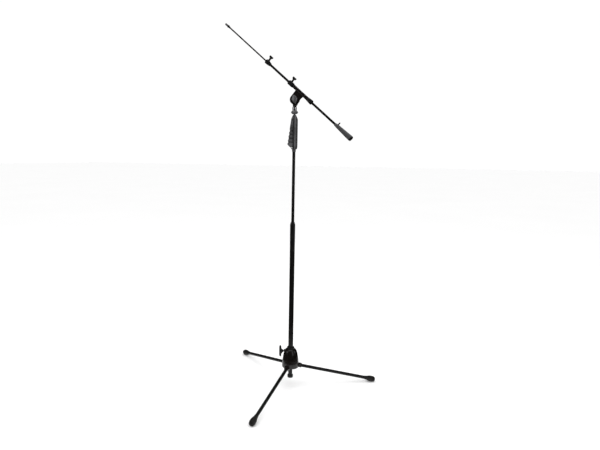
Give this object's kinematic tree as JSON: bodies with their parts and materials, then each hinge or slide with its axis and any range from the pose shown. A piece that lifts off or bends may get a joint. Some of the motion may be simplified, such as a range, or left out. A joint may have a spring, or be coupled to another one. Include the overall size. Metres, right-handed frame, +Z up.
{
  "type": "boom microphone stand",
  "caption": "Folding tripod microphone stand with a squeeze-grip telescoping pole and a tilting, telescoping boom with a counterweight.",
  "frame": {"origin": "on the floor, at the middle of the stand's bounding box", "axes": "+Z up the pole, the boom lies in a plane parallel to XZ with its tip towards -X, one leg points to -Y"},
  "size_m": [0.709, 0.617, 1.671],
  "materials": {
    "gloss_black_cast": "gloss black enamel on a casting",
    "black_root": "black enamel",
    "black_tube": "satin black powder coat",
    "black_plastic": "moulded, slight sheen",
    "grey_grip": "soft-touch dark grey",
    "weight_coat": "dark grey textured coat",
    "rubber": "matte",
    "chrome": "bright plate",
    "steel": "zinc plate",
    "grey_metal": "satin grey"
  },
  "bodies": {
    "pole": {"lower_tube": "black_tube", "tube_plug": "black_plastic", "junction_collar": "black_plastic"},
    "hub": {"leg_hub": "gloss_black_cast", "hub_bush": "black_plastic", "clamp_pad": "black_plastic", "leg_pin_1": "steel", "leg_pin_2": "steel", "leg_pin_3": "steel"},
    "base_knob": {"base_knob": "black_plastic", "base_knob_screw": "steel"},
    "leg_1": {"leg_root_1": "black_root", "leg_tube_1": "black_tube", "rubber_foot_1": "rubber"},
    "leg_2": {"leg_root_2": "black_root", "leg_tube_2": "black_tube", "rubber_foot_2": "rubber"},
    "leg_3": {"leg_root_3": "black_root", "leg_tube_3": "black_tube", "rubber_foot_3": "rubber"},
    "mast": {"upper_tube": "black_tube", "lock_collet": "black_plastic", "grip_body": "grey_grip", "grip_nut": "black_plastic", "trigger_pin": "steel", "threaded_stud": "chrome", "return_spring": "steel"},
    "trigger": {"trigger": "grey_grip"},
    "pull_rod": {"pull_rod": "steel", "lock_cone": "steel"},
    "lock_ring": {"lock_ring": "grey_metal"},
    "head": {"swivel_adapter": "chrome", "joint_base": "gloss_black_cast", "friction_washer": "rubber", "tilt_bolt": "steel", "tilt_nut": "steel"},
    "tilt_lever": {"tilt_lever": "grey_metal"},
    "clamp": {"boom_clamp": "gloss_black_cast", "boom_front_collar": "black_plastic", "boom_rear_collar": "black_plastic"},
    "clamp_knob": {"clamp_knob": "black_plastic", "clamp_knob_screw": "steel"},
    "outer_boom": {"outer_boom_tube": "black_tube", "boom_end_collar": "black_plastic"},
    "end_knob": {"end_knob": "black_plastic", "end_knob_screw": "steel"},
    "inner_boom": {"inner_boom_tube": "black_tube", "inner_tail_bush": "black_plastic", "tip_flange": "black_plastic", "tip_stud": "chrome"},
    "counterweight": {"counterweight": "weight_coat", "counterweight_cap": "black_plastic"},
    "counterweight_screw": {"counterweight_screw": "black_plastic"}
  },
  "joints": [
    {"name": "hub_slide", "type": "slide", "parent": "pole", "child": "hub", "axis": [0, 0, 1], "range_m": [-0.02, 0.3]},
    {"name": "base_knob_turn", "type": "hinge", "parent": "hub", "child": "base_knob", "pos_m": [-0.042, 0.07411, 0.161], "axis": [-0.866, -0.5, 0], "range_deg": [-180, 180]},
    {"name": "leg_fold_1", "type": "hinge", "parent": "hub", "child": "leg_1", "pos_m": [0, 0.07136, 0.09348], "axis": [1, 0, 0], "range_deg": [0, 74]},
    {"name": "leg_fold_2", "type": "hinge", "parent": "hub", "child": "leg_2", "pos_m": [0.02338, 0.11186, 0.09348], "axis": [-0.5, 0.866, 0], "range_deg": [0, 74]},
    {"name": "leg_fold_3", "type": "hinge", "parent": "hub", "child": "leg_3", "pos_m": [-0.02338, 0.11186, 0.09348], "axis": [-0.5, -0.866, 0], "range_deg": [0, 74]},
    {"name": "mast_slide", "type": "slide", "parent": "pole", "child": "mast", "axis": [0, 0, 1], "range_m": [-0.3, 0.045]},
    {"name": "trigger_squeeze", "type": "hinge", "parent": "mast", "child": "trigger", "pos_m": [-0.00961, 0.09438, 1.221], "axis": [0.3827, -0.9239, 0], "range_deg": [0, 4], "stiffness_Nm_per_rad": 3, "springref_deg": -8.59},
    {"name": "rod_lift", "type": "slide", "parent": "mast", "child": "pull_rod", "axis": [0, 0, 1], "range_m": [0, 0.00073], "deforming": ["return_spring"]},
    {"name": "lock_ring_turn", "type": "hinge", "parent": "mast", "child": "lock_ring", "pos_m": [0, 0.09836, 1.2555], "axis": [0, 0, 1], "continuous": true},
    {"name": "head_swivel", "type": "hinge", "parent": "mast", "child": "head", "pos_m": [0, 0.09836, 1.263], "axis": [0, 0, 1], "range_deg": [-180, 180]},
    {"name": "tilt_lever_turn", "type": "hinge", "parent": "head", "child": "tilt_lever", "pos_m": [0, 0.09836, 1.3114], "axis": [0, 1, 0], "range_deg": [-90, 90]},
    {"name": "boom_tilt", "type": "hinge", "parent": "head", "child": "clamp", "pos_m": [0, 0.09836, 1.3114], "axis": [0, 1, 0], "range_deg": [-85, 38]},
    {"name": "clamp_knob_turn", "type": "hinge", "parent": "clamp", "child": "clamp_knob", "pos_m": [-0.02086, 0.09836, 1.38135], "axis": [0.6574, 0, 0.7536], "range_deg": [-180, 180]},
    {"name": "boom_slide", "type": "slide", "parent": "clamp", "child": "outer_boom", "axis": [-0.7536, 0, 0.6574], "range_m": [-0.11, 0.09]},
    {"name": "end_knob_turn", "type": "hinge", "parent": "outer_boom", "child": "end_knob", "pos_m": [-0.13344, 0.09836, 1.47956], "axis": [0.6574, 0, 0.7536], "range_deg": [-180, 180]},
    {"name": "boom_extend", "type": "slide", "parent": "outer_boom", "child": "inner_boom", "axis": [-0.7536, 0, 0.6574], "range_m": [-0.235, 0.055]},
    {"name": "counterweight_slide", "type": "slide", "parent": "outer_boom", "child": "counterweight", "axis": [-0.7536, 0, 0.6574], "range_m": [-0.055, 0]},
    {"name": "counterweight_screw_turn", "type": "hinge", "parent": "counterweight", "child": "counterweight_screw", "pos_m": [0.19587, 0.09836, 1.19229], "axis": [0.6574, 0, 0.7536], "range_deg": [-180, 180]}
  ],
  "couplings": [
    {"joint": "rod_lift", "follows": "trigger_squeeze", "m_per_rad": 0.0104}
  ]
}
